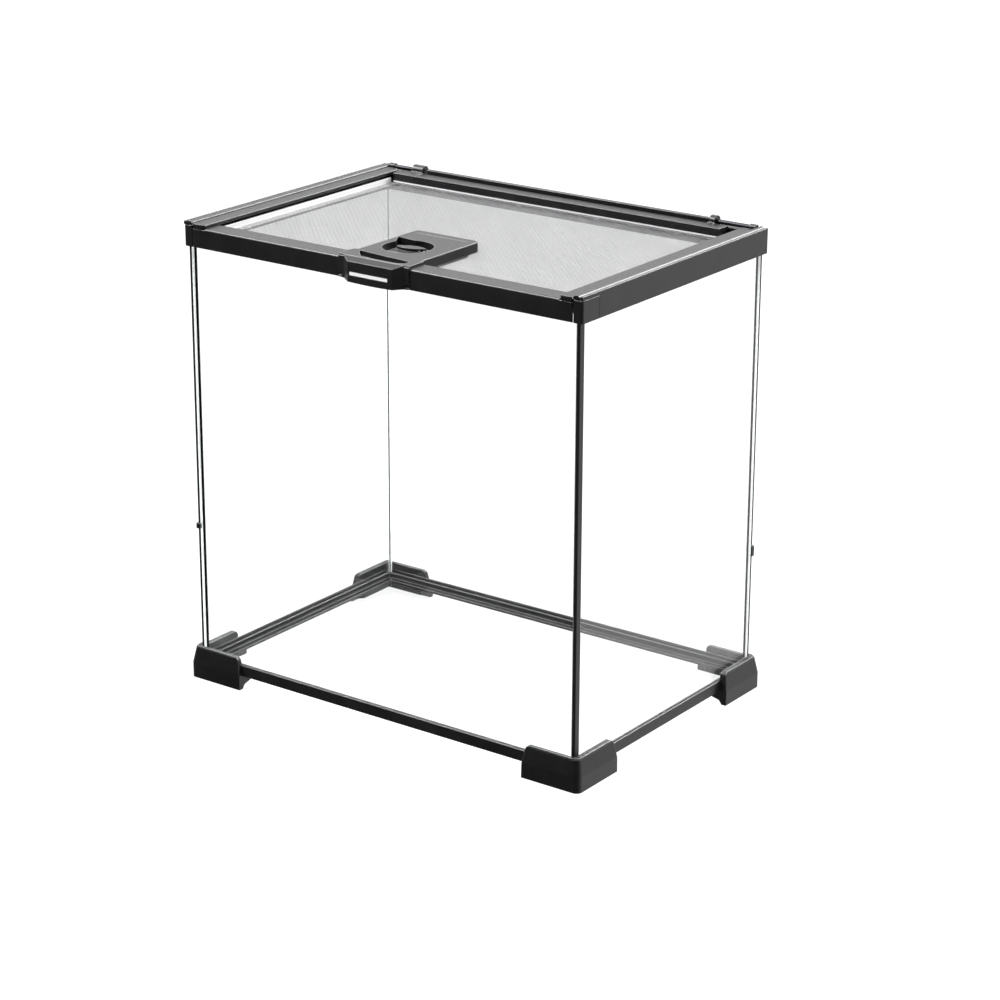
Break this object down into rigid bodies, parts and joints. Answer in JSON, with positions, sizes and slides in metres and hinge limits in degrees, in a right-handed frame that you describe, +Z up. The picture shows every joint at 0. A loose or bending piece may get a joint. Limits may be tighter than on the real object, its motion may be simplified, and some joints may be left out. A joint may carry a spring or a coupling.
{
  "type": "hamster cage",
  "caption": "Glass-sided hamster cage on black corner feet, with a black top frame and a rear-hinged woven-screen lid that locks with a front slide bolt.",
  "frame": {"origin": "centre of the whole envelope at floor level, under the feet", "axes": "+Z up; the front with the latch faces -Y; +X to the right seen from the front"},
  "size_m": [0.3024, 0.2062, 0.3032],
  "materials": {
    "black_plastic": "satin",
    "clear_glass": "polished",
    "black_seal": "matte",
    "steel_screen": "woven",
    "sheet_steel": "satin",
    "screw_steel": "satin",
    "black_steel": "satin",
    "blank_label": "gloss"
  },
  "bodies": {
    "frame": {"bottom_rail_front": "black_plastic", "bottom_rail_left": "black_plastic", "bottom_rail_rear": "black_plastic", "bottom_rail_right": "black_plastic", "corner_block_left": "black_plastic", "corner_block_right": "black_plastic", "corner_clip_front_left": "black_plastic", "corner_clip_rear_right": "black_plastic", "floor_pane": "clear_glass", "foot_front_left": "black_plastic", "foot_front_right": "black_plastic", "foot_rear_left": "black_plastic", "foot_rear_right": "black_plastic", "glass_front": "clear_glass", "glass_left": "clear_glass", "glass_rear": "clear_glass", "glass_right": "clear_glass", "hinge_pin_left": "black_steel", "hinge_pin_right": "black_steel", "seal_front_left": "black_seal", "seal_front_right": "black_seal", "seal_rear_left": "black_seal", "seal_rear_right": "black_seal", "edge_bar_front_left": "black_plastic", "edge_bar_front_right": "black_plastic", "edge_bar_rear_left": "black_plastic", "edge_bar_rear_right": "black_plastic", "top_rail_front": "black_plastic", "top_rail_left": "black_plastic", "top_rail_rear": "black_plastic", "top_rail_right": "black_plastic"},
    "lid": {"hinge_bar": "black_plastic", "hinge_block_left": "black_plastic", "hinge_clamp_plate": "sheet_steel", "hinge_screws": "screw_steel", "hinge_strip": "sheet_steel", "latch_clamp_plate": "black_plastic", "latch_housing": "black_plastic", "latch_label": "blank_label", "latch_screws": "screw_steel", "screen_rim": "sheet_steel", "screen_sheet": "steel_screen"},
    "latch_slider": {"latch_thumb_slide": "black_plastic", "latch_bolt": "sheet_steel", "latch_bolt_screw": "screw_steel"}
  },
  "joints": [
    {"name": "lid_hinge", "type": "hinge", "parent": "frame", "child": "lid", "pos_m": [0, 0.09775, 0.2994], "axis": [-1, 0, 0], "range_deg": [0, 105]},
    {"name": "latch_slide", "type": "slide", "parent": "lid", "child": "latch_slider", "axis": [0, -1, 0], "range_m": [0, 0.005]}
  ]
}
